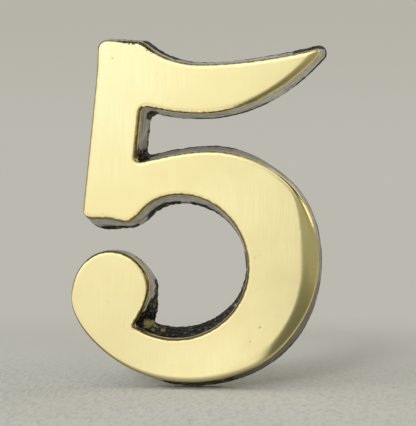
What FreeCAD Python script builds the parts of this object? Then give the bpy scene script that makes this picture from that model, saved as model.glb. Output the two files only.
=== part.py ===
import FreeCAD, Part
import math
import os
from collections import namedtuple

# Door numeral 5, cast in brass as one piece: polished face, drafted cast walls, relieved back, two tapped bosses.
# The face looks along -Y, the back lies in Y = 0, +Z is up, and the origin is midway between the tapped holes.
# Heights are taken up from the foot of the bowl and sideways places from the line of the holes, in millimetres.
# The outline given here is the edge of the polished face. Each wall leans outwards from it to the back.

# Thickness
depth = 8.0               # back to the flat of the face
edge_drop = 1.0           # how far behind the flat the polished face ends

# Stem
stem_head_height = 74.7
stem_head_x = -22.55
stem_head_fall = 4.3      # fall of the top edge to the right
stem_head_angle = 88.0    # slope of the left side at its head
stem_side_height = 67.0   # where the left side straightens up
stem_side_x = -22.9
stem_angle = 84.0         # slope of the stem's sides
stem_width = 10.7
stem_foot_height = 35.4
stem_foot_x = -26.15
hollow_x = -20.6          # shallow hollow in the foot of the stem
toe_x = -16.4             # lowest point of the foot, beside the bowl
toe_drop = 0.75

# Flag
shoulder_x = -12.6        # where the top of the stem breaks down to the flag
shoulder_height = 73.95
shoulder_fall = 42.0
dip_x = 0.5               # lowest point of the flag's top edge
dip_height = 69.0
flag_stroke = 10.8
belly_x = 0.0             # lowest point of the flag's underside
tip_x = 27.2
tip_height = 72.45
tip_rise = 12.5           # slope of the top edge at the tip
tip_cut = 48.0            # slope of the underside at the tip

# Notch between the flag and the bowl
notch_head_height = 60.15
notch_head_rise = 16.0    # slope of the flag's underside where it meets the stem
notch_foot_height = 47.65
notch_foot_rise = 14.0    # slope of the bowl where it leaves the stem

# Bowl
crown_x = 1.8
crown_height = 50.25
crown_stroke = 9.65
brow_x = 19.6             # where the outside falls at half a right angle
brow_height = 43.1
bowl_right_x = 25.6
bowl_right_height = 26.2
bowl_stroke = 15.4
haunch_x = 17.2           # where the outside turns under at half a right angle
haunch_height = 7.4
bowl_foot_x = -3.1
bowl_foot_stroke = 9.5
counter_foot_x = -5.6     # lowest point of the counter
counter_right_height = 24.9
counter_head_x = -4.6     # highest point of the counter
neck_x = -12.1            # where the counter turns out under the stem
neck_height = 37.7
neck_angle = 48.0

# Ball at the end of the bowl
hook_x = -21.5            # where the outside climbs towards the ball
hook_height = 6.65
hook_angle = 40.0
ball_left_x = -28.6
ball_left_height = 18.3
ball_head_x = -19.8
ball_head_height = 28.6
ball_cheek_x = -13.4      # where the top of the ball falls at half a right angle
ball_cheek_height = 25.85
ball_width = 17.5
ball_right_height = 20.6
crotch_x = -14.75         # sharp corner where the ball meets the bowl
crotch_height = 12.3
crotch_ball_angle = 57.0
crotch_bowl_angle = 30.0

# Corner radii at the edge of the face, and at the back
stem_head_radius = 2.2
stem_head_back_radius = 2.8
stem_foot_radius = 1.9
stem_foot_back_radius = 4.6
shoulder_radius = 2.0
shoulder_back_radius = 2.6
tip_radius = 0.7
tip_back_radius = 1.75
notch_head_radius = 1.4
notch_head_back_radius = 1.6
notch_foot_radius = 0.8
notch_foot_back_radius = 0.8
crotch_radius = 0.8
crotch_back_radius = 1.0
least_radius = 0.25       # no corner of any section is sharper

# Width of the buffed roll inside the edge of the face
roll_edge = 0.5           # along a crisp edge
roll_wall = 0.6           # down the notch and round the inside of the ball
roll_belly = 0.8          # under the flag
roll_tip = 1.3            # under the tip of the flag
roll_brow = 0.5           # at the upper right of the bowl, before it widens
roll_bowl = 3.7           # down the right of the bowl, where the buffing went deepest
roll_haunch = 2.4
roll_foot = 1.2           # along the foot of the bowl
roll_bands = 6            # bands that make up the rounding

# How far each wall leans out between the edge of the face and the back
lean_side = 0.8
lean_head = 0.9
lean_shoulder = 0.75
lean_dip = 1.0
lean_tip = 1.35
lean_under_tip = 0.9
lean_belly = 0.8
lean_notch = 1.2
lean_crown = 1.35
lean_brow = 0.2
lean_bowl = 0.4
lean_haunch = 1.5
lean_foot = 1.6
lean_ball = -0.1
lean_cheek = -0.2
lean_ball_right = 0.8
lean_crotch = 2.6
lean_counter_foot = 2.0
lean_counter = 0.9
lean_counter_head = 1.9
lean_neck = 1.6
lean_toe = 1.3
lean_hollow = 2.3

# Back and fixing
rim = 2.3                 # width of the rim that bears on the door
relief_depth = 3.2
relief_draft = 0.4
boss_radius = 3.6
boss_draft = 0.3
boss_root = 1.0           # how far the boss runs into the floor of the relief
hole_radius = 1.65        # tapping size for an M4 thread
hole_depth = 5.4
drill_angle = 118.0

# Worked out from the sizes above
belly_height = dip_height - flag_stroke
counter_head_height = crown_height - crown_stroke
counter_right_x = bowl_right_x - bowl_stroke
ball_right_x = ball_left_x + ball_width
upper_hole_height = (dip_height + belly_height) / 2
lower_hole_height = bowl_foot_stroke / 2
origin_height = (upper_hole_height + lower_hole_height) / 2

# Nodes of the outline: headings are degrees up from +X, and a corner's lean and roll are for the sides before and after
Bend = namedtuple("Bend", "x z heading lean roll")
Corner = namedtuple("Corner", "x z arrive leave radius back_radius lean roll")
Station = namedtuple("Station", "x z heading")


def notch_wall(height):
    # Right side of the stem, parallel to the left
    return stem_foot_x + stem_width + (height - stem_foot_height) / math.tan(math.radians(stem_angle))


def stem_and_flag():
    return [
        Corner(stem_foot_x, stem_foot_height, 180, stem_angle, stem_foot_radius, stem_foot_back_radius,
               (lean_hollow, lean_side), (roll_edge, roll_edge)),
        Bend(stem_side_x, stem_side_height, (stem_angle + stem_head_angle) / 2, lean_side, roll_edge),
        Corner(stem_head_x, stem_head_height, stem_head_angle, -stem_head_fall, stem_head_radius,
               stem_head_back_radius, (lean_side, lean_head), (roll_edge, roll_edge)),
        Corner(shoulder_x, shoulder_height, -stem_head_fall, -shoulder_fall, shoulder_radius,
               shoulder_back_radius, (lean_head, lean_shoulder), (roll_edge, roll_edge)),
        Bend(dip_x, dip_height, 0, lean_dip, roll_edge),
        Corner(tip_x, tip_height, tip_rise, tip_cut - 180, tip_radius, tip_back_radius,
               (lean_tip, lean_under_tip), (roll_edge, roll_tip)),
        Bend(belly_x, belly_height, 180, lean_belly, roll_belly),
        Corner(notch_wall(notch_head_height), notch_head_height, 180 - notch_head_rise, stem_angle - 180,
               notch_head_radius, notch_head_back_radius, (lean_belly, lean_notch), (roll_belly, roll_wall)),
        Corner(notch_wall(notch_foot_height), notch_foot_height, stem_angle - 180, notch_foot_rise,
               notch_foot_radius, notch_foot_back_radius, (lean_notch, lean_crown), (roll_wall, roll_edge)),
    ]


def bowl_and_ball():
    return [
        Bend(crown_x, crown_height, 0, lean_crown, roll_edge),
        Bend(brow_x, brow_height, -45, lean_brow, roll_brow),
        Bend(bowl_right_x, bowl_right_height, -90, lean_bowl, roll_bowl),
        Bend(haunch_x, haunch_height, -135, lean_haunch, roll_haunch),
        Bend(bowl_foot_x, 0, 180, lean_foot, roll_foot),
        Bend(hook_x, hook_height, 180 - hook_angle, lean_side, roll_foot),
        Bend(ball_left_x, ball_left_height, 90, lean_side, roll_edge),
        Bend(ball_head_x, ball_head_height, 0, lean_ball, roll_edge),
        Bend(ball_cheek_x, ball_cheek_height, -45, lean_cheek, roll_wall),
        Bend(ball_right_x, ball_right_height, -90, lean_ball_right, roll_wall),
    ]


def counter():
    return [
        Corner(crotch_x, crotch_height, crotch_ball_angle - 180, -crotch_bowl_angle, crotch_radius,
               crotch_back_radius, (lean_crotch, lean_counter_foot), (roll_wall, roll_wall)),
        Bend(counter_foot_x, bowl_foot_stroke, 0, lean_counter_foot, roll_edge),
        Bend(counter_right_x, counter_right_height, 90, lean_counter, roll_edge),
        Bend(counter_head_x, counter_head_height, 180, lean_counter_head, roll_edge),
        Bend(neck_x, neck_height, neck_angle - 180, lean_neck, roll_edge),
        Bend(toe_x, stem_foot_height - toe_drop, 180, lean_toe, roll_edge),
        Bend(hollow_x, stem_foot_height, 180, lean_hollow, roll_edge),
    ]


def along(heading, length):
    angle = math.radians(heading)
    return length * math.cos(angle), length * math.sin(angle)


def turn_between(arrive, leave):
    # Signed turn in degrees, negative to the right
    return (leave - arrive + 180) % 360 - 180


def shifted_bend(bend, outwards):
    dx, dz = along(bend.heading + 90, outwards)
    return [Station(bend.x + dx, bend.z + dz, bend.heading)]


def shifted_corner(corner, before, after, radius):
    # Each side moves outwards by its own amount, and a fillet opens the point where they meet into two stations
    angle = math.radians(turn_between(corner.arrive, corner.leave))
    aside_x, aside_z = along(corner.arrive + 90, before)
    ahead_x, ahead_z = along(corner.arrive, (before * math.cos(angle) - after) / math.sin(angle))
    x = corner.x + aside_x + ahead_x
    z = corner.z + aside_z + ahead_z
    setback = max(radius, least_radius) * math.tan(abs(angle) / 2)
    back_x, back_z = along(corner.arrive, -setback)
    on_x, on_z = along(corner.leave, setback)
    return [Station(x + back_x, z + back_z, corner.arrive), Station(x + on_x, z + on_z, corner.leave)]


def handle_lengths(start, end):
    # Handles of an elliptic arc where the two tangents meet ahead, of an even S-curve where they don't
    ax, az = along(start.heading, 1)
    bx, bz = along(end.heading, 1)
    dx = end.x - start.x
    dz = end.z - start.z
    even = math.hypot(dx, dz) / 3
    turn = math.radians(abs(turn_between(start.heading, end.heading)))
    if turn < math.radians(1):
        return even, even
    cross = ax * bz - az * bx
    to_meeting = (dx * bz - dz * bx) / cross
    from_meeting = (ax * dz - az * dx) / cross
    if to_meeting <= 0 or from_meeting <= 0:
        return even, even
    share = 4 / 3 * math.tan(turn / 4) / math.tan(turn / 2)
    return share * to_meeting, share * from_meeting


def curve(start, end, y):
    first, second = handle_lengths(start, end)
    ax, az = along(start.heading, first)
    bx, bz = along(end.heading, second)
    poles = [(start.x, start.z), (start.x + ax, start.z + az), (end.x - bx, end.z - bz), (end.x, end.z)]
    bezier = Part.BezierCurve()
    bezier.setPoles([FreeCAD.Vector(x, y, z - origin_height) for x, z in poles])
    return bezier.toShape()


def section(y, lean_share=0, roll_share=0, margin=0):
    # Closed outline at y: shares of each node's lean outwards and of its roll inwards, then an even margin inwards
    stations = []
    for node in stem_and_flag() + bowl_and_ball() + counter():
        if isinstance(node, Bend):
            stations += shifted_bend(node, lean_share * node.lean - roll_share * node.roll - margin)
            continue
        inwards = [roll_share * roll + margin for roll in node.roll]
        before, after = [lean_share * lean - step for lean, step in zip(node.lean, inwards)]
        growth = math.copysign(sum(inwards) / 2, turn_between(node.arrive, node.leave))
        radius = node.radius + lean_share * (node.back_radius - node.radius) + growth
        stations += shifted_corner(node, before, after, radius)
    edges = [curve(a, b, y) for a, b in zip(stations, stations[1:] + stations[:1])]
    return Part.Wire(edges)


def face_roll():
    # Quarter-ellipse from the flat of the face round to its edge, in narrow bands
    sections = []
    for band in range(roll_bands + 1):
        bend = math.radians(90) * band / roll_bands
        y = -depth + edge_drop * (1 - math.cos(bend))
        sections.append(section(y, roll_share=1 - math.sin(bend)))
    return Part.makeLoft(sections, True, True)


def walls():
    return Part.makeLoft([section(-depth + edge_drop), section(0, lean_share=1)], True, True)


def relief():
    # Hollow that follows the lean of the walls, so the rim keeps its thickness down to the floor
    floor_share = 1 - relief_depth / (depth - edge_drop)
    floor = section(-relief_depth, lean_share=floor_share, margin=rim + relief_draft)
    mouth = section(0, lean_share=1, margin=rim)
    return Part.makeLoft([floor, mouth], True, True)


def boss(height):
    # Cast boss from inside the floor of the relief up to the plane of the rim
    length = relief_depth + boss_root
    foot = FreeCAD.Vector(0, -length, height - origin_height)
    return Part.makeCone(boss_radius + boss_draft, boss_radius, length, foot, FreeCAD.Vector(0, 1, 0))


def tapped_hole(height):
    # Blind hole with the cone that the drill leaves
    inwards = FreeCAD.Vector(0, -1, 0)
    mouth = FreeCAD.Vector(0, 0, height - origin_height)
    bore = Part.makeCylinder(hole_radius, hole_depth, mouth, inwards)
    point = hole_radius / math.tan(math.radians(drill_angle / 2))
    cone = Part.makeCone(hole_radius, 0, point, mouth + inwards * hole_depth, inwards)
    return bore.fuse(cone)


def numeral():
    heights = (upper_hole_height, lower_hole_height)
    body = face_roll().fuse(walls()).removeSplitter()
    body = body.cut(relief())
    body = body.fuse([boss(height) for height in heights])
    body = body.cut([tapped_hole(height) for height in heights])
    return body.removeSplitter()


os.makedirs("parts", exist_ok=True)
numeral().exportStep("parts/numeral_five.step")
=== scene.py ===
import math

import bmesh
import bpy
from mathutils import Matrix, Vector, kdtree, noise


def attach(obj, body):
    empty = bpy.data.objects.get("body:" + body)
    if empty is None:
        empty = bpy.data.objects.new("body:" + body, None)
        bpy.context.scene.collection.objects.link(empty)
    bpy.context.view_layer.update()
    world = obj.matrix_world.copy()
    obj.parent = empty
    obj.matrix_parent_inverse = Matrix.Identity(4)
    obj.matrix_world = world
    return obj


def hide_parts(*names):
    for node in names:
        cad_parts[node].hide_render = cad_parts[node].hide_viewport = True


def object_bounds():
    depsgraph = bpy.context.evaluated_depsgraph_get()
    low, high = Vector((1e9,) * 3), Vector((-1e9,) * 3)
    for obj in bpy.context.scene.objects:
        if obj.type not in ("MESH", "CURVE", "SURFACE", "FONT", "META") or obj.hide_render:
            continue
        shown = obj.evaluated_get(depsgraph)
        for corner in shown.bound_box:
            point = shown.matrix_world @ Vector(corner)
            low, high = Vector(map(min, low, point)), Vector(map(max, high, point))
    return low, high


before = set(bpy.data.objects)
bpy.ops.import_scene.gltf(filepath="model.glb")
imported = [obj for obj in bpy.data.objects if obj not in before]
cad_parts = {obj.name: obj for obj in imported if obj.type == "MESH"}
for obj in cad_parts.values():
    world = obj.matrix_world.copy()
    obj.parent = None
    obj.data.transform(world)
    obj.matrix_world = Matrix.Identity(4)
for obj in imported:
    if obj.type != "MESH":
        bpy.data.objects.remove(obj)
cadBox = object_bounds()

# the numeral: an even copy of the solid, with its cast skin, chips and residue worked into the mesh
casting = {
    "grid": 0.00034,          # size of the even mesh
    "merge": 0.000002,
    "smoothing": 2,           # rounds of smoothing after the even mesh
    "face": -0.0080,          # plane of the polished flat
    "flatWithin": 0.000012,   # what lies this near the flat is put on it
    "arris": -0.0070,         # where the polished face ends and the cast wall begins
    "tarnishAndDarkReflectionTo": -0.0055,     # how far back tarnish and painted dark reflection go
    "rim": (-0.0006, -0.0002),    # where the filed back begins, and where it is full
    "bare": (-0.0066, -0.0056),   # the same for bare brass in the residue
    "facingBack": (0.45, 0.85),   # how squarely the filed back has to face backwards
    "residueRise": 0.0016,    # depth over which residue comes in
    "residueFade": (0.6, 1.6),    # shares of a spot's reach where it starts to fade and is gone
    "spotFade": (0.7, 1.3),       # the same for tarnish and painted dark reflection, for grime and painted shade, and for bare brass
    "skinFrom": (0.0001, 0.0008),  # behind the arris, where the cast skin begins and is full
    "skinHeight": 0.000045,   # roughness of the cast walls
    "skinSize": 0.0010,
    "streakHeight": 0.00006,  # long marks along the walls
    "streakLength": 0.0024,
    "streakWidth": 0.0006,
    "lumpHeight": 0.00022,    # how far the residue stands proud
    "lumpSize": 0.0008,
}

# where residue sits on the walls, with painted shade under the bowl where it meets the paper: x, z, reach,
# how much, and the depth where it starts
residueAndShadeSpots = [
    (-0.0128, -0.0222, 0.0030, 1.0, -0.0085),   # crotch
    (-0.0100, -0.0240, 0.0024, 1.0, -0.0085),   # foot of the counter
    (-0.0072, -0.0240, 0.0022, 1.0, -0.0085),
    (-0.0045, -0.0240, 0.0022, 1.0, -0.0085),
    (-0.0018, -0.0234, 0.0022, 1.0, -0.0085),
    (0.0008, -0.0222, 0.0020, 0.9, -0.0080),
    (0.0030, -0.0205, 0.0020, 0.9, -0.0085),
    (0.0055, -0.0184, 0.0020, 0.9, -0.0085),    # right of the counter
    (0.0078, -0.0152, 0.0020, 0.9, -0.0085),
    (0.0092, -0.0116, 0.0020, 0.8, -0.0082),
    (0.0098, -0.0078, 0.0020, 0.65, -0.0078),
    (-0.0140, 0.0140, 0.0024, 1.0, -0.0085),    # foot of the notch
    (-0.0120, 0.0150, 0.0020, 0.9, -0.0048),
    (-0.0085, 0.0168, 0.0024, 0.7, -0.0030),
    (-0.0120, 0.0254, 0.0022, 0.9, -0.0046),    # head of the notch
    (-0.0090, 0.0248, 0.0018, 0.6, -0.0030),
    (-0.0040, 0.0168, 0.0030, 0.42, -0.0060),   # crown
    (0.0015, 0.0168, 0.0030, 0.40, -0.0060),
    (0.0070, 0.0162, 0.0030, 0.36, -0.0056),
    (-0.0098, 0.0030, 0.0028, 0.9, -0.0042),    # neck
    (-0.0072, 0.0048, 0.0022, 0.9, -0.0034),
    (-0.0208, -0.0012, 0.0020, 1.0, -0.0034),   # foot of the stem
    (-0.0182, -0.0012, 0.0020, 1.0, -0.0034),
    (-0.0158, -0.0012, 0.0018, 1.0, -0.0034),
    (-0.0005, 0.0050, 0.0024, 0.9, -0.0035),    # head of the counter
    (0.0030, 0.0036, 0.0022, 0.9, -0.0032),
    (-0.0104, -0.0140, 0.0022, 0.8, -0.0034),   # right of the ball
    (-0.0108, -0.0165, 0.0024, 0.9, -0.0046),
    (-0.0114, -0.0190, 0.0026, 1.0, -0.0064),
    (-0.0062, -0.0348, 0.0026, 0.8, -0.0078),   # under the bowl: residue and painted shade where it meets the paper
    (-0.0025, -0.0356, 0.0026, 0.9, -0.0080),
    (0.0015, -0.0356, 0.0026, 0.9, -0.0080),
    (0.0052, -0.0346, 0.0026, 0.8, -0.0076),
    (0.0256, 0.0392, 0.0012, 1.0, -0.0085),     # top of the flag's tip
    (0.0238, 0.0386, 0.0014, 1.0, -0.0085),
    (0.0215, 0.0378, 0.0018, 0.9, -0.0080),
    (0.0185, 0.0368, 0.0022, 0.45, -0.0074),
    (0.0140, 0.0360, 0.0030, 0.30, -0.0070),    # top of the flag
    (0.0090, 0.0352, 0.0030, 0.28, -0.0070),
    (0.0035, 0.0348, 0.0030, 0.30, -0.0070),
    (-0.0025, 0.0352, 0.0030, 0.45, -0.0066),
    (-0.0075, 0.0368, 0.0028, 0.9, -0.0060),    # shoulder
    (-0.0112, 0.0386, 0.0030, 1.0, -0.0060),
    (-0.0150, 0.0402, 0.0030, 0.50, -0.0072),   # top of the stem
    (-0.0185, 0.0406, 0.0030, 0.35, -0.0075),
]

# dark gold along the edge of the face, on the inner edges, the shoulder and the top edges, as tarnish and
# as painted dark reflection of the rolled edge: x, z, reach, how much
tarnishAndDarkReflectionSpots = [
    # notch
    (-0.0135, 0.0200, 0.0060, 0.85),
    # belly
    (-0.0060, 0.0246, 0.0050, 0.65), (0.0020, 0.0242, 0.0055, 0.60), (0.0100, 0.0258, 0.0050, 0.52),
    (0.0170, 0.0294, 0.0045, 0.35), (0.0225, 0.0335, 0.0040, 0.28), (0.0250, 0.0372, 0.0022, 0.30),
    # crown
    (-0.0090, 0.0150, 0.0045, 0.55), (-0.0020, 0.0160, 0.0045, 0.55), (0.0050, 0.0160, 0.0045, 0.55),
    (0.0120, 0.0142, 0.0045, 0.45),
    # ball
    (-0.0215, -0.0058, 0.0045, 0.80), (-0.0155, -0.0072, 0.0045, 0.85), (-0.0115, -0.0125, 0.0045, 0.85),
    (-0.0122, -0.0185, 0.0045, 0.85), (-0.0148, -0.0222, 0.0025, 0.85),
    # counter
    (-0.0100, -0.0243, 0.0040, 1.00), (-0.0040, -0.0246, 0.0045, 1.00), (0.0020, -0.0226, 0.0040, 0.85),
    (0.0065, -0.0185, 0.0040, 1.00), (0.0095, -0.0135, 0.0045, 1.00), (0.0102, -0.0080, 0.0045, 1.00),
    (0.0086, -0.0015, 0.0045, 0.95), (0.0045, 0.0035, 0.0045, 0.75), (-0.0020, 0.0062, 0.0045, 0.80),
    (-0.0080, 0.0053, 0.0040, 0.80), (-0.0123, 0.0033, 0.0040, 0.85),
    # stem foot
    (-0.0170, 0.0008, 0.0040, 0.85), (-0.0220, 0.0012, 0.0032, 0.85),
    # shoulder
    (-0.0155, 0.0398, 0.0030, 0.80), (-0.0120, 0.0384, 0.0028, 0.85), (-0.0080, 0.0366, 0.0025, 0.70),
    # top edges: painted dark reflection
    (-0.0205, 0.0404, 0.0030, 0.55), (-0.0040, 0.0350, 0.0035, 0.60), (0.0020, 0.0344, 0.0040, 0.55),
    (0.0080, 0.0347, 0.0040, 0.55), (0.0140, 0.0356, 0.0040, 0.55), (0.0200, 0.0372, 0.0040, 0.55),
]

# grime over the crown, and painted shade round the lower right where the wall faces the shadowed paper: x,
# z, reach, how much
grimeAndShadeSpots = [
    (-0.0085, 0.0168, 0.0045, 0.68), (-0.0030, 0.0172, 0.0050, 0.58), (0.0030, 0.0172, 0.0050, 0.54),
    (0.0090, 0.0160, 0.0050, 0.48), (0.0150, 0.0130, 0.0050, 0.36),
    (0.0262, -0.0100, 0.0050, 0.40), (0.0245, -0.0165, 0.0050, 0.70), (0.0212, -0.0220, 0.0050, 0.80),
    (0.0168, -0.0270, 0.0050, 0.92), (0.0115, -0.0310, 0.0050, 0.97), (0.0050, -0.0340, 0.0050, 1.00),
]

# bare brass showing through the residue: x, z, reach, how much
bareSpots = [
    (-0.0122, -0.0217, 0.0009, 1.0), (-0.0106, -0.0228, 0.0007, 0.8), (-0.0088, -0.0234, 0.0006, 0.6),
    (-0.0190, -0.0012, 0.0009, 0.9), (0.0030, 0.0038, 0.0008, 0.7), (0.0052, 0.0018, 0.0007, 0.7),
]

# chips along the shoulder's edge
chipped = {
    "from": -0.0176,          # along x
    "to": -0.0098,
    "above": 0.0370,
    "width": 0.0016,
    "depth": 0.00022,
    "size": 0.00055,          # of one chip
    "ends": 0.001,            # length over which they begin
    "gaps": (-0.05, 0.35),    # noise levels where the edge is whole and where it is gone
    "way": (0, 0.6, -0.8),    # the way the edge gives
    "tone": 0.62,             # how dark the chipped edge goes
}

# small pits in the face: x, z, reach, depth
pits = [
    (-0.0193, 0.0363, 0.00028, 0.00006),
    (-0.0092, 0.0325, 0.00030, 0.00006),
    (0.0132, -0.0219, 0.00030, 0.00008),
    (0.0109, -0.0250, 0.00028, 0.00008),
]

# the two tapped holes in the back
tapping = {
    "holes": (0.029425, -0.029425),
    "depth": 0.0054,
    "minor": 0.00165,
    "major": 0.0020,
    "core": 0.0010,           # points from here out to the boss are moved
    "boss": 0.0027,
    "lead": 0.0004,           # from the foot of the hole to the first turn
    "bury": 0.00005,          # how far the ridge goes into the wall
    "rootHalf": 0.34,         # half the ridge at the wall, in pitches, and at its crest
    "crestHalf": 0.07,
    "pitch": 0.0007,
    "turns": 6.5,
    "steps": 30,              # steps in a turn of the thread
}


def smoothShare(value, low, high):
    share = max(0.0, min(1.0, (value - low) / (high - low)))
    return share * share * (3 - 2 * share)


def applyModifiers(piece):
    graph = bpy.context.evaluated_depsgraph_get()
    mesh = bpy.data.meshes.new_from_object(piece.evaluated_get(graph))
    old = piece.data
    piece.modifiers.clear()
    piece.data = mesh
    bpy.data.meshes.remove(old)


def mergedCopy(node, name):
    bm = bmesh.new()
    bm.from_mesh(node.data)
    bmesh.ops.remove_doubles(bm, verts=bm.verts, dist=casting["merge"])
    mesh = bpy.data.meshes.new(name)
    bm.to_mesh(mesh)
    bm.free()
    piece = bpy.data.objects.new(name, mesh)
    bpy.context.scene.collection.objects.link(piece)
    return piece


def evenCopy(node, name):
    # an even grid, pulled back onto the solid's own surface
    piece = mergedCopy(node, name)
    remesh = piece.modifiers.new("evenGrid", "REMESH")
    remesh.mode = "VOXEL"
    remesh.voxel_size = casting["grid"]
    remesh.use_smooth_shade = True
    wrap = piece.modifiers.new("ontoSolid", "SHRINKWRAP")
    wrap.target = node
    wrap.wrap_method = "NEAREST_SURFACEPOINT"
    applyModifiers(piece)
    return piece


def smoothCasting(bm):
    for turn in range(casting["smoothing"]):
        bmesh.ops.smooth_vert(bm, verts=bm.verts, factor=0.5,
                              use_axis_x=True, use_axis_y=True, use_axis_z=True)
    for v in bm.verts:
        if v.co.y < casting["face"] + casting["flatWithin"]:
            v.co.y = casting["face"]


def openHoles(bm):
    # widen the tapping holes to the root of the thread
    wide = tapping["major"] - tapping["minor"]
    for v in bm.verts:
        if v.co.y < -tapping["depth"]:
            continue
        for height in tapping["holes"]:
            arm = Vector((v.co.x, 0, v.co.z - height))
            radius = arm.length
            if tapping["core"] < radius < tapping["boss"]:
                share = 1 - smoothShare(radius, tapping["minor"], tapping["boss"])
                arm *= (radius + wide * share) / radius
                v.co = Vector((arm.x, v.co.y, arm.z + height))


def residueAndShadeAt(place):
    most = 0.0
    inner, outer = casting["residueFade"]
    for x, z, reach, amount, start in residueAndShadeSpots:
        away = math.hypot(place.x - x, place.z - z) / reach
        if away < outer:
            rear = smoothShare(place.y, start, start + casting["residueRise"])
            most = max(most, amount * rear * (1 - smoothShare(away, inner, outer)))
    return most


def amountAt(place, spots):
    most = 0.0
    inner, outer = casting["spotFade"]
    for x, z, reach, amount in spots:
        away = math.hypot(place.x - x, place.z - z) / reach
        if away < outer:
            most = max(most, amount * (1 - smoothShare(away, inner, outer)))
    return most


def paintWearShadeAndReflection(bm):
    # what lies on each point, with the painted shade and dark reflection, and how far in from the edge of
    # the face it is
    residueAndShade = bm.verts.layers.float.new("residueAndShade")
    tarnishAndDarkReflection = bm.verts.layers.float.new("tarnishAndDarkReflection")
    grimeAndShade = bm.verts.layers.float.new("grimeAndShade")
    filed = bm.verts.layers.float.new("filed")
    bare = bm.verts.layers.float.new("bare")
    inset = bm.verts.layers.float.new("inset")
    bm.normal_update()
    edge = [v.co for v in bm.verts if abs(v.co.y - casting["arris"]) < 0.6 * casting["grid"]]
    tree = kdtree.KDTree(len(edge))
    for index, place in enumerate(edge):
        tree.insert((place.x, 0, place.z), index)
    tree.balance()
    for v in bm.verts:
        v[residueAndShade] = residueAndShadeAt(v.co)
        v[grimeAndShade] = amountAt(v.co, grimeAndShadeSpots)
        v[bare] = amountAt(v.co, bareSpots) * smoothShare(v.co.y, *casting["bare"])
        v[filed] = smoothShare(v.co.y, *casting["rim"]) * smoothShare(v.normal.y, *casting["facingBack"])
        if v.co.y < casting["tarnishAndDarkReflectionTo"]:
            v[tarnishAndDarkReflection] = amountAt(v.co, tarnishAndDarkReflectionSpots)
        if v.co.y < casting["arris"]:
            v[inset] = tree.find((v.co.x, 0, v.co.z))[2]


def roughenWalls(bm):
    # cast skin and long marks on everything behind the polished face, with residue standing a little proud
    bm.normal_update()
    residueAndShade = bm.verts.layers.float["residueAndShade"]
    size, long, wide = casting["skinSize"], casting["streakLength"], casting["streakWidth"]
    begin, full = [casting["arris"] + gap for gap in casting["skinFrom"]]
    moves = []
    for v in bm.verts:
        p = v.co
        share = smoothShare(p.y, begin, full)
        skin = noise.noise(p / size) + 0.6 * noise.noise(p / (0.4 * size))
        along = Vector((p.x / long, p.y / wide, p.z / long))
        lump = v[residueAndShade] * casting["lumpHeight"] * (0.4 + noise.noise(p / casting["lumpSize"]))
        height = casting["skinHeight"] * skin + casting["streakHeight"] * noise.noise(along) + lump
        moves.append(v.normal * (share * height))
    for v, move in zip(bm.verts, moves):
        v.co += move


def dentFace(bm):
    # chips bite into the shoulder's edge, and pits into the flat of the face
    inset = bm.verts.layers.float["inset"]
    pitted = bm.verts.layers.float.new("pit")
    for v in bm.verts:
        p = v.co
        if p.y > casting["arris"]:
            continue
        if chipped["from"] < p.x < chipped["to"] and p.z > chipped["above"]:
            near = 1 - smoothShare(v[inset], 0.1 * chipped["width"], chipped["width"])
            ends = smoothShare(p.x, chipped["from"], chipped["from"] + chipped["ends"])
            bite = near * near * ends * smoothShare(noise.noise(p / chipped["size"]), *chipped["gaps"])
            v.co += Vector(chipped["way"]) * (chipped["depth"] * bite)
            v[pitted] = chipped["tone"] * near * ends
        for x, z, reach, deep in pits:
            away = math.hypot(p.x - x, p.z - z) / reach
            if away < 1:
                bite = 1 - smoothShare(away, 0.1, 1.0)
                v.co.y += deep * bite
                v[pitted] = max(v[pitted], bite)


def keepInBox(bm):
    low, high = cadBox
    for v in bm.verts:
        v.co = Vector([min(max(c, a), b) for c, a, b in zip(v.co, low, high)])


def rideOnRoot(piece):
    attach(piece, "root")


def makeCasting():
    piece = evenCopy(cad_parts["numeral_five"], "numeralFive")
    bm = bmesh.new()
    bm.from_mesh(piece.data)
    smoothCasting(bm)
    openHoles(bm)
    paintWearShadeAndReflection(bm)
    roughenWalls(bm)
    dentFace(bm)
    keepInBox(bm)
    for face in bm.faces:
        face.smooth = True
    bm.to_mesh(piece.data)
    bm.free()
    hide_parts("numeral_five")
    rideOnRoot(piece)
    return piece


def makeThread(name, height):
    # the ridge of the thread, spun up the hole from a section across it
    bm = bmesh.new()
    steps = int(tapping["steps"] * tapping["turns"])
    rise = tapping["pitch"] / tapping["steps"]
    start = -tapping["depth"] + tapping["lead"]
    root = tapping["major"] + tapping["bury"]
    foot, crest = tapping["rootHalf"], tapping["crestHalf"]
    section = [(root, -foot), (tapping["minor"], -crest), (tapping["minor"], crest), (root, foot)]
    verts = [bm.verts.new((radius, start + share * tapping["pitch"], height)) for radius, share in section]
    edges = [bm.edges.new(pair) for pair in zip(verts, verts[1:] + verts[:1])]
    bmesh.ops.spin(bm, geom=verts + edges, cent=(0, 0, height), axis=(0, 1, 0), dvec=(0, rise, 0),
                   angle=2 * math.pi * tapping["turns"], steps=steps, use_merge=False)
    bmesh.ops.holes_fill(bm, edges=[e for e in bm.edges if e.is_boundary])
    bmesh.ops.recalc_face_normals(bm, faces=bm.faces)
    mesh = bpy.data.meshes.new(name)
    bm.to_mesh(mesh)
    bm.free()
    piece = bpy.data.objects.new(name, mesh)
    bpy.context.scene.collection.objects.link(piece)
    rideOnRoot(piece)
    return piece


numeralFive = makeCasting()
threads = [makeThread("upperThread", tapping["holes"][0]), makeThread("lowerThread", tapping["holes"][1])]
print("casting", len(numeralFive.data.polygons), "faces, threads", [len(t.data.polygons) for t in threads])

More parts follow.
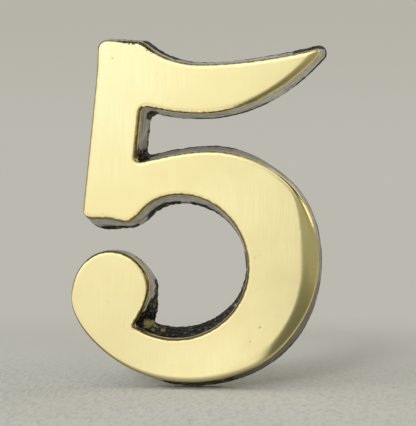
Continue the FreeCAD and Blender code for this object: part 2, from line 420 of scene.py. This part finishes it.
# brass, from its polished face to the grey cast skin and the black left in its corners
brass = {
    "polished": (0.885, 0.785, 0.435, 1.0),
    "polishedDeep": (0.83, 0.715, 0.365, 1.0),
    "tarnishAndDarkReflection": (0.17, 0.12, 0.022, 1.0),      # dark gold along the edge of the face: tarnish and painted dark reflection
    "wallLight": (0.74, 0.72, 0.66, 1.0),
    "wallMid": (0.53, 0.515, 0.47, 1.0),
    # dark streaks, and painted shade round the lower right
    "wallDarkAndShade": (0.09, 0.083, 0.062, 1.0),
    "residueAndShade": (0.016, 0.014, 0.009, 1.0),
    "speck": (0.34, 0.28, 0.11, 1.0),         # brass showing through the residue
    "chip": (0.075, 0.052, 0.012, 1.0),       # bare metal gone dark where the edge is chipped
    "fleckAndGlint": (0.56, 0.57, 0.55, 1.0),         # grey flecks in the residue, partly painted glints
    "filed": (0.50, 0.39, 0.165, 1.0),        # rim and bosses of the back
    "filedDark": (0.27, 0.205, 0.085, 1.0),
    "cut": (0.72, 0.58, 0.26, 1.0),           # inside the tapped holes
}
gloss = {
    "face": (0.18, 0.15),                     # roughness, deep tone to light tone
    "wall": (0.46, 0.6),
    "residueAndShade": 0.55,
    "filed": 0.4,
    "cut": (0.45, 0.28),
    "wallMetal": 0.25,                        # how metallic the cast skin is, and the residue
    "residueMetal": 0.9,
    "bumpStrength": 0.6,
    "bumpHeight": 0.00008,
}


def addNode(tree, kind, inputs=None, **settings):
    made = tree.nodes.new("ShaderNode" + kind)
    for key, value in settings.items():
        setattr(made, key, value)
    for key, value in (inputs or {}).items():
        if isinstance(value, bpy.types.NodeSocket):
            tree.links.new(value, made.inputs[key])
        else:
            made.inputs[key].default_value = value
    return made


def mixColour(tree, share, first, second):
    return addNode(tree, "Mix", {0: share, 6: first, 7: second}, data_type="RGBA").outputs[2]


def mixValue(tree, share, first, second):
    return addNode(tree, "Mix", {0: share, 2: first, 3: second}, data_type="FLOAT").outputs[0]


def ramp(tree, value, low, high, start=0.0, end=1.0):
    inputs = {"Value": value, "From Min": low, "From Max": high, "To Min": start, "To Max": end}
    return addNode(tree, "MapRange", inputs, interpolation_type="SMOOTHSTEP").outputs[0]


def sums(tree, operation, first, second):
    return addNode(tree, "Math", {0: first, 1: second}, operation=operation).outputs[0]


def grain(tree, vector, scale, detail=3.0, rough=0.55, stretch=(1, 1, 1)):
    place = addNode(tree, "Mapping", {"Vector": vector, "Scale": stretch}).outputs[0]
    inputs = {"Vector": place, "Scale": scale, "Detail": detail, "Roughness": rough}
    return addNode(tree, "TexNoise", inputs).outputs[0]


def vertexMap(tree, name):
    return addNode(tree, "Attribute", attribute_name=name).outputs["Fac"]


def makeUnevenGroup():
    # soft unevenness of tone that all the brass shares
    group = bpy.data.node_groups.new("unevenTone", "ShaderNodeTree")
    group.interface.new_socket("Vector", in_out="INPUT", socket_type="NodeSocketVector")
    group.interface.new_socket("Light Tone", in_out="INPUT", socket_type="NodeSocketColor")
    group.interface.new_socket("Deep Tone", in_out="INPUT", socket_type="NodeSocketColor")
    group.interface.new_socket("Scale", in_out="INPUT", socket_type="NodeSocketFloat")
    group.interface.new_socket("Tone", in_out="OUTPUT", socket_type="NodeSocketColor")
    group.interface.new_socket("Uneven", in_out="OUTPUT", socket_type="NodeSocketFloat")
    inside = group.nodes.new("NodeGroupInput").outputs
    outside = group.nodes.new("NodeGroupOutput").inputs
    wave = addNode(group, "TexNoise", {"Vector": inside["Vector"], "Scale": inside["Scale"], "Detail": 4.0})
    share = ramp(group, wave.outputs[0], 0.30, 0.72)
    group.links.new(mixColour(group, share, inside["Deep Tone"], inside["Light Tone"]), outside["Tone"])
    group.links.new(share, outside["Uneven"])
    return group


def useGroup(tree, group, inputs):
    return addNode(tree, "Group", inputs, node_tree=group).outputs


def newMaterial(name):
    material = bpy.data.materials.new(name)
    material.use_nodes = True
    return material, material.node_tree, material.node_tree.nodes["Principled BSDF"]


def polishedTone(tree, place, face, brush):
    # faint upright brush marks, a deeper tone near the edge, and dark gold in the edge itself as tarnish
    # and painted dark reflection, its very outer line left paler as painted reflection
    inset = vertexMap(tree, "inset")
    tone = mixColour(tree, ramp(tree, brush, 0.42, 0.68, 0.0, 0.6), face["Tone"], brass["polishedDeep"])
    tone = mixColour(tree, ramp(tree, inset, 0.0020, 0.0002, 0.0, 0.55), tone, brass["polishedDeep"])
    load = sums(tree, "MULTIPLY", vertexMap(tree, "tarnishAndDarkReflection"), ramp(tree, inset, 0.00095, 0.00025))
    broken = sums(tree, "MULTIPLY", sums(tree, "SUBTRACT", grain(tree, place, 1700.0, 4.0, 0.65), 0.5), 1.1)
    amount = ramp(tree, sums(tree, "ADD", load, broken), 0.30, 0.75, 0.0, 0.9)
    # the very outer line of the edge stays paler, as a painted reflection
    paleOuterLine = ramp(tree, inset, 0.00003, 0.00019, 0.15, 1.0)
    return mixColour(tree, sums(tree, "MULTIPLY", amount, paleOuterLine), tone, brass["tarnishAndDarkReflection"])


def wallTone(tree, mottle, streak):
    # grey cast skin, mottled and streaked along the wall, with grime over the crown and painted shade round
    # the lower right
    tone = mixColour(tree, ramp(tree, mottle, 0.36, 0.64), brass["wallMid"], brass["wallLight"])
    tone = mixColour(tree, vertexMap(tree, "grimeAndShade"), tone, brass["wallDarkAndShade"])
    return mixColour(tree, ramp(tree, streak, 0.50, 0.66, 0.0, 0.55), tone, brass["wallDarkAndShade"])


def residueAndShadeShare(tree, place, y):
    # black residue, thick towards the back and in the corners, painted shade under the bowl, and a black
    # line under the edge where dark reflection is painted
    broken = sums(tree, "SUBTRACT", grain(tree, place, 950.0, 5.0, 0.68), 0.5)
    rear = ramp(tree, y, -0.0034, -0.0006, 0.0, 1.0)
    rear = sums(tree, "MULTIPLY", rear, ramp(tree, grain(tree, place, 110.0, 2.0), 0.36, 0.60, 0.45, 1.0))
    under = sums(tree, "MULTIPLY", ramp(tree, y, -0.0063, -0.0068, 0.0, 0.75), vertexMap(tree, "tarnishAndDarkReflection"))
    load = sums(tree, "MAXIMUM", sums(tree, "MAXIMUM", rear, under), vertexMap(tree, "residueAndShade"))
    return ramp(tree, sums(tree, "ADD", load, sums(tree, "MULTIPLY", broken, 1.2)), 0.40, 0.62)


def residueAndGlintTone(tree, place):
    # black, with brass showing through, and grey flecks and painted glints where it lies thick
    bare = sums(tree, "MULTIPLY", vertexMap(tree, "bare"), 0.22)
    specks = ramp(tree, sums(tree, "ADD", grain(tree, place, 520.0, 3.0), bare), 0.60, 0.67)
    tone = mixColour(tree, specks, brass["residueAndShade"], brass["speck"])
    flecksAndGlints = ramp(tree, grain(tree, place, 1500.0, 4.0, 0.7), 0.58, 0.65, 0.0, 0.85)
    thick = ramp(tree, vertexMap(tree, "residueAndShade"), 0.45, 0.95, 0.12, 1.0)
    return mixColour(tree, sums(tree, "MULTIPLY", flecksAndGlints, thick), tone, brass["fleckAndGlint"])


def chipShare(tree, place):
    # ragged dark spots where the face is chipped or pitted
    ragged = sums(tree, "MULTIPLY", sums(tree, "SUBTRACT", grain(tree, place, 2300.0, 4.0, 0.65), 0.5), 2.2)
    return ramp(tree, sums(tree, "ADD", vertexMap(tree, "pit"), ragged), 0.42, 0.52, 0.0, 0.85)


def filedShare(tree, place):
    # bare brass on the rim and bosses, with the marks of the file across it
    broken = sums(tree, "MULTIPLY", sums(tree, "SUBTRACT", grain(tree, place, 420.0, 5.0, 0.65), 0.5), 1.6)
    flat = ramp(tree, sums(tree, "ADD", vertexMap(tree, "filed"), broken), 0.30, 0.62)
    return flat, ramp(tree, grain(tree, place, 1.0, 4.0, 0.6, (2600, 1, 180)), 0.36, 0.62)


def makeCastBrass(uneven):
    material, tree, shader = newMaterial("castBrass")
    place = addNode(tree, "TexCoord").outputs["Object"]
    y = addNode(tree, "SeparateXYZ", {0: place}).outputs["Y"]
    wander = sums(tree, "ADD", y, ramp(tree, grain(tree, place, 900.0), 0.3, 0.7, -0.00012, 0.00012))
    polish = ramp(tree, wander, -0.0070, -0.0067, 1.0, 0.0)
    face = useGroup(tree, uneven, {"Vector": place, "Light Tone": brass["polished"],
                                   "Deep Tone": brass["polishedDeep"], "Scale": 60.0})
    brush = grain(tree, place, 1.0, 2.0, 0.5, (4200, 1, 110))
    mottle = grain(tree, place, 620.0, 5.0, 0.62)
    streak = grain(tree, place, 1.0, 5.0, 0.62, (190, 850, 190))
    black = residueAndShadeShare(tree, place, y)

    wall = mixColour(tree, black, wallTone(tree, mottle, streak), residueAndGlintTone(tree, place))
    flat, scratch = filedShare(tree, place)
    wall = mixColour(tree, flat, wall, mixColour(tree, scratch, brass["filedDark"], brass["filed"]))
    tone = mixColour(tree, polish, wall, polishedTone(tree, place, face, brush))
    tone = mixColour(tree, sums(tree, "MULTIPLY", polish, chipShare(tree, place)), tone, brass["chip"])
    tree.links.new(tone, shader.inputs["Base Color"])

    wallRough = mixValue(tree, black, ramp(tree, mottle, 0.3, 0.7, *gloss["wall"]), gloss["residueAndShade"])
    faceRough = ramp(tree, face["Uneven"], 0.0, 1.0, *gloss["face"])
    wallRough = mixValue(tree, flat, wallRough, gloss["filed"])
    tree.links.new(mixValue(tree, polish, wallRough, faceRough), shader.inputs["Roughness"])
    metal = mixValue(tree, black, gloss["wallMetal"], gloss["residueMetal"])
    metal = mixValue(tree, flat, metal, 1.0)
    tree.links.new(mixValue(tree, polish, metal, 1.0), shader.inputs["Metallic"])

    fine = grain(tree, place, 2600.0, 4.0, 0.6)
    wallHeight = sums(tree, "ADD", fine, sums(tree, "MULTIPLY", streak, 0.8))
    height = mixValue(tree, polish, wallHeight, sums(tree, "MULTIPLY", brush, 0.02))
    bump = addNode(tree, "Bump", {"Strength": gloss["bumpStrength"], "Distance": gloss["bumpHeight"],
                                  "Height": height})
    tree.links.new(bump.outputs[0], shader.inputs["Normal"])
    return material


def makeCutBrass(uneven):
    material, tree, shader = newMaterial("cutBrass")
    place = addNode(tree, "TexCoord").outputs["Object"]
    cut = useGroup(tree, uneven, {"Vector": place, "Light Tone": brass["cut"], "Deep Tone": brass["speck"],
                                  "Scale": 700.0})
    tree.links.new(cut["Tone"], shader.inputs["Base Color"])
    tree.links.new(ramp(tree, cut["Uneven"], 0.0, 1.0, *gloss["cut"]), shader.inputs["Roughness"])
    shader.inputs["Metallic"].default_value = 1.0
    return material


unevenTone = makeUnevenGroup()
castBrass = makeCastBrass(unevenTone)
cutBrass = makeCutBrass(unevenTone)
numeralFive.data.materials.clear()
numeralFive.data.materials.append(castBrass)
for thread in threads:
    thread.data.materials.append(cutBrass)
print("brass ready")

# pale paper under and behind the numeral
table = {
    "floor": (0.85, 0.84, 0.78, 1.0),
    "backdrop": (0.45, 0.44, 0.40, 1.0),
    "height": cadBox[0].z,
    "frontEdge": -0.60,
    "riseFrom": 0.45,
    "riseRadius": 0.6,
    "riseSteps": 12,
    "wall": 1.0,                          # upright paper above the curve
    "halfWidth": 1.6,
    "roughness": 0.9,
    "specular": 0.1,
    "fadeY": (0.05, 0.85),                # from the floor's tone to the backdrop's
    "tooth": 0.0010,                      # grain of the paper
    "toothStrength": 0.6,
    "fibre": (0.56, 0.56, 0.52, 1.0),
    "fibreScale": (900, 260, 900),
    "fibreShare": 0.34,
    "grainY": (0.10, -0.01),              # where the grain is gone, and where it is full
    "farY": (0.06, 0.21),                 # where the far tone begins, and where it is full
    "seen": (0.503, 0.485, 0.435, 1.0),   # the far paper, as the camera and the metal see it
    "seenHigh": (0.470, 0.458, 0.398, 1.0),
    "highZ": (0.04, 0.16),
}

# painted reflections: tones painted on the paper near the numeral for glossy rays only, for the rolled
# edges to mirror, and where each begins and is full
paintedReflections = {
    "shine": (1.02, 1.02, 1.00, 1.0),     # in front
    "shineNear": (1.15, 1.16, 1.16, 1.0),
    "shadeNear": (0.18, 0.18, 0.14, 1.0),   # to the right
    "shadeFar": (0.40, 0.385, 0.27, 1.0),
    "behind": (0.55, 0.52, 0.40, 1.0),
    "frontY": (-0.004, -0.020),
    "frontX": (0.021, 0.013),
    "nearY": (-0.30, -0.10),
    "nearLeft": (-0.024, -0.008),
    "nearRight": (0.010, -0.002),
    "shadeX": (0.03, 0.14),
    "behindY": (-0.016, 0.002),
    "behindX": (0.008, 0.020),
    "endY": (0.06, 0.04),                 # none lies further back than this
}
lights = {
    "key": {   # the large panel that the face mirrors
        "place": (-0.478, -0.75, 0.17), "aim": (-0.478, 0, 0.17),
        "size": (0.95, 1.0), "power": 2.06, "tone": (0.97, 0.985, 1.05),
    },
    "fill": {   # lifts the middle of the face
        "place": (-0.3, -0.74, 0.08), "aim": (-0.3, 0, 0.08),
        "size": (0.42, 0.44), "power": 0.055,
    },
    "stemGlow": {   # cool highlight on the stem
        "place": (-0.182, -0.73, 0.104), "aim": (-0.182, 0, 0.104),
        "size": (0.05, 0.08), "power": 0.014, "tone": (0.0, 0.35, 1.0),
    },
    "canopy": {   # above and in front
        "place": (-0.36, -0.93, 0.64), "aim": (0, 0, 0),
        "size": (1.9, 0.98), "power": 4.5,
    },
    "top": {   # overhead
        "place": (0.0, -0.2, 1.02), "aim": (0, 0, 0),
        "size": (1.3, 0.9), "power": 1.9,
    },
    "rim": {   # warm strip for the edge of the bowl
        "place": (0.7, -0.06, 0.265), "aim": (0, 0, 0),
        "size": (0.9, 0.19), "power": 0.66, "tone": (1.0, 0.88, 0.55),
    },
    "side": {   # from the right and behind
        "place": (0.75, 0.45, 0.85), "aim": (0, 0, 0),
        "size": (0.7, 0.7), "power": 1.1,
    },
    "low": {   # only for the shadow on the paper, so the metal does not mirror it
        "place": (-0.2, -1.1, 0.37), "aim": (0, 0, 0),
        "size": (0.2, 0.1), "power": 3.6, "mirrored": False,
    },
}
world = {
    "above": (0.10, 0.10, 0.095, 1.0),
    "level": (0.40, 0.40, 0.31, 1.0),
    "levelTo": (0.05, 0.5),   # how high eye level goes, and where above begins
}
camera = {
    "target": (0.001616, -0.007, 0.002583),
    "distance": 0.325,
    "yaw": 7.0,               # degrees to the right of straight ahead
    "rise": 0.5,
    "focal": 1500.0,          # in pixels, as is the picture's long side
    "long": 426.0,
    "sensor": 36.0,
    "near": 0.01,
}


def paperGrain(tree, shader, spot, place):
    # the paper's own tone, with a grain that fades with distance
    tone = mixColour(tree, ramp(tree, place["Y"], *table["fadeY"]), table["floor"], table["backdrop"])
    fibres = grain(tree, spot, 1.0, 4.0, 0.65, table["fibreScale"])
    near = ramp(tree, place["Y"], *table["grainY"])
    flecked = sums(tree, "MULTIPLY", near, ramp(tree, fibres, 0.44, 0.66, 0.0, table["fibreShare"]))
    tree.links.new(mixColour(tree, flecked, tone, table["fibre"]), shader.inputs["Base Color"])
    height = sums(tree, "MULTIPLY", fibres, near)
    tooth = addNode(tree, "Bump", {"Strength": table["toothStrength"], "Distance": table["tooth"],
                                   "Height": height})
    tree.links.new(tooth.outputs[0], shader.inputs["Normal"])


def paintedReflectionTone(tree, place):
    # painted reflections, pale in front, dark to the right and warm behind, as the rolled edges mirror them
    x, y = place["X"], place["Y"]
    front = sums(tree, "MULTIPLY", ramp(tree, y, *paintedReflections["frontY"]), ramp(tree, x, *paintedReflections["frontX"]))
    near = sums(tree, "MULTIPLY", ramp(tree, y, *paintedReflections["nearY"]), ramp(tree, x, *paintedReflections["nearLeft"]))
    near = sums(tree, "MULTIPLY", near, ramp(tree, x, *paintedReflections["nearRight"]))
    shine = mixColour(tree, near, paintedReflections["shine"], paintedReflections["shineNear"])
    shade = mixColour(tree, ramp(tree, x, *paintedReflections["shadeX"]), paintedReflections["shadeNear"], paintedReflections["shadeFar"])
    rear = sums(tree, "MULTIPLY", ramp(tree, y, *paintedReflections["behindY"]), ramp(tree, x, *paintedReflections["behindX"]))
    return mixColour(tree, rear, mixColour(tree, front, shade, shine), paintedReflections["behind"])


def makePaper():
    paper, tree, shader = newMaterial("palePaper")
    shader.inputs["Roughness"].default_value = table["roughness"]
    shader.inputs["Specular IOR Level"].default_value = table["specular"]
    spot = addNode(tree, "TexCoord").outputs["Object"]
    place = addNode(tree, "SeparateXYZ", {0: spot}).outputs
    paperGrain(tree, shader, spot, place)

    # near the numeral, glossy rays see the painted reflections instead of the lit paper
    rays = addNode(tree, "LightPath").outputs
    paintedReflection = addNode(tree, "Emission", {"Color": paintedReflectionTone(tree, place)})
    mirrored = sums(tree, "MULTIPLY", rays["Is Glossy Ray"], ramp(tree, place["Y"], *paintedReflections["endY"]))
    both = addNode(tree, "MixShader", {0: mirrored, 1: shader.outputs[0], 2: paintedReflection.outputs[0]})

    # further off, all that is seen or mirrored is the plain tone
    shows = sums(tree, "MAXIMUM", rays["Is Glossy Ray"], rays["Is Transmission Ray"])
    shows = sums(tree, "MAXIMUM", rays["Is Camera Ray"], shows)
    far = sums(tree, "MULTIPLY", shows, ramp(tree, place["Y"], *table["farY"]))
    seen = mixColour(tree, ramp(tree, place["Z"], *table["highZ"]), table["seen"], table["seenHigh"])
    level = addNode(tree, "Emission", {"Color": seen})
    both = addNode(tree, "MixShader", {0: far, 1: both.outputs[0], 2: level.outputs[0]})
    tree.links.new(both.outputs[0], tree.nodes["Material Output"].inputs["Surface"])
    return paper


def makeTable():
    bm = bmesh.new()
    profile = [(table["frontEdge"], table["height"]), (table["riseFrom"], table["height"])]
    for step in range(1, table["riseSteps"] + 1):
        angle = math.radians(90) * step / table["riseSteps"]
        profile.append((table["riseFrom"] + table["riseRadius"] * math.sin(angle),
                        table["height"] + table["riseRadius"] * (1 - math.cos(angle))))
    profile.append((profile[-1][0], profile[-1][1] + table["wall"]))
    verts = [bm.verts.new((-table["halfWidth"], y, z)) for y, z in profile]
    edges = [bm.edges.new(pair) for pair in zip(verts, verts[1:])]
    made = bmesh.ops.extrude_edge_only(bm, edges=edges)["geom"]
    across = [v for v in made if isinstance(v, bmesh.types.BMVert)]
    bmesh.ops.translate(bm, verts=across, vec=(2 * table["halfWidth"], 0, 0))
    for face in bm.faces:
        face.smooth = True
    mesh = bpy.data.meshes.new("paperTable")
    bm.to_mesh(mesh)
    bm.free()
    piece = bpy.data.objects.new("paperTable", mesh)
    bpy.context.scene.collection.objects.link(piece)
    mesh.materials.append(makePaper())


def lightScene():
    for name, values in lights.items():
        lamp = bpy.data.lights.new(name + "Light", "AREA")
        lamp.shape = "RECTANGLE"
        lamp.size, lamp.size_y = values["size"]
        lamp.energy = values["power"]
        lamp.color = values.get("tone", (1, 1, 1))
        piece = bpy.data.objects.new(name + "Light", lamp)
        piece.location = values["place"]
        piece.rotation_euler = (Vector(values["aim"]) - piece.location).to_track_quat("-Z", "Y").to_euler()
        piece.visible_camera = False
        piece.visible_glossy = values.get("mirrored", True)
        bpy.context.scene.collection.objects.link(piece)


def makeWorld():
    # lighter at eye level than above
    sky = bpy.data.worlds.new("studio")
    sky.use_nodes = True
    tree = sky.node_tree
    way = addNode(tree, "SeparateXYZ", {0: addNode(tree, "TexCoord").outputs["Generated"]}).outputs
    around = mixColour(tree, ramp(tree, way["Z"], *world["levelTo"]), world["level"], world["above"])
    tree.links.new(around, tree.nodes["Background"].inputs["Color"])
    bpy.context.scene.world = sky


def makeCamera():
    lens = bpy.data.cameras.new("camera")
    lens.sensor_width = camera["sensor"]
    lens.lens = camera["sensor"] * camera["focal"] / camera["long"]
    lens.clip_start = camera["near"]
    piece = bpy.data.objects.new("camera", lens)
    yaw, rise = math.radians(camera["yaw"]), math.radians(camera["rise"])
    back = Vector((math.sin(yaw) * math.cos(rise), -math.cos(yaw) * math.cos(rise), math.sin(rise)))
    piece.location = Vector(camera["target"]) + back * camera["distance"]
    piece.rotation_euler = (-back).to_track_quat("-Z", "Y").to_euler()
    bpy.context.scene.collection.objects.link(piece)
    bpy.context.scene.camera = piece


makeTable()
lightScene()
makeWorld()
makeCamera()
bpy.context.scene.view_settings.view_transform = "Standard"
print("table, light and camera ready")
